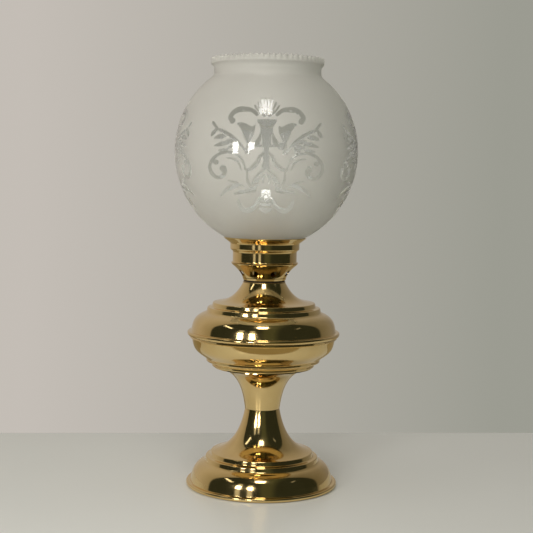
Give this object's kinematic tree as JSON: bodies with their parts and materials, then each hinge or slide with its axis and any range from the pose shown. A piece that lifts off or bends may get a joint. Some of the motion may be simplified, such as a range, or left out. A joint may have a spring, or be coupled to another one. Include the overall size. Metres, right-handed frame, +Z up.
{
  "type": "oil lamp",
  "caption": "Brass table oil lamp with a stepped round foot, waisted stem, round font, wick burner and a frosted ball globe with an etched pattern and a crimped rim.",
  "frame": {"origin": "centre of the foot's underside, on the surface that the lamp stands on", "axes": "+Z up along the lamp's axis, -Y towards the front, the wick knob at the rear on +Y"},
  "size_m": [0.179, 0.179, 0.42],
  "materials": {
    "polished_brass": "mirror polished and lacquered",
    "dull_brass": "plain unpolished brass",
    "frosted_glass": "frosted, with a clear etched pattern",
    "steel": "plain steel",
    "iron": "rough casting",
    "felt": "green felt",
    "cork": "dark oiled gasket",
    "wick_cotton": "woven cotton"
  },
  "bodies": {
    "stand": {"base_felt": "felt", "foot_shell": "polished_brass", "foot_weight": "iron", "rod_washer": "steel", "rod_nut": "steel", "tie_rod": "steel", "stem_sleeve": "dull_brass", "upper_stem": "polished_brass", "font_boss": "dull_brass", "font_lower_bowl": "polished_brass", "font_upper_shell": "polished_brass", "font_collar": "dull_brass"},
    "gasket": {"collar_gasket": "cork"},
    "burner": {"burner_base": "polished_brass", "vent_cone": "polished_brass", "gallery": "polished_brass", "air_screen": "dull_brass", "wick_tube": "dull_brass", "shaft_bush": "dull_brass"},
    "spreader": {"flame_spreader": "dull_brass"},
    "winder": {"wick_shaft": "steel", "wick_wheel_front": "dull_brass", "wick_wheel_rear": "dull_brass", "wick_knob": "polished_brass"},
    "wick": {"wick": "wick_cotton"},
    "globe": {"globe": "frosted_glass"}
  },
  "joints": [
    {"name": "burner_turn", "type": "hinge", "parent": "stand", "child": "gasket", "pos_m": [0, 0, 0.2033], "axis": [0, 0, 1], "range_deg": [0, 1440]},
    {"name": "burner_lift", "type": "slide", "parent": "gasket", "child": "burner", "axis": [0, 0, 1], "range_m": [0, 0.09]},
    {"name": "globe_lift", "type": "slide", "parent": "burner", "child": "globe", "axis": [0, 0, 1], "range_m": [0, 0.06]},
    {"name": "spreader_lift", "type": "slide", "parent": "burner", "child": "spreader", "axis": [0, 0, 1], "range_m": [0, 0.2]},
    {"name": "knob_turn", "type": "hinge", "parent": "burner", "child": "winder", "pos_m": [0.0049, 0.046, 0.2174], "axis": [0, 1, 0], "range_deg": [-170, 170]},
    {"name": "wick_slide", "type": "slide", "parent": "burner", "child": "wick", "axis": [0, 0, 1], "range_m": [-0.01, 0.01]}
  ],
  "couplings": [
    {"joint": "knob_turn", "follows": "wick_slide", "rad_per_m": 294.12}
  ]
}
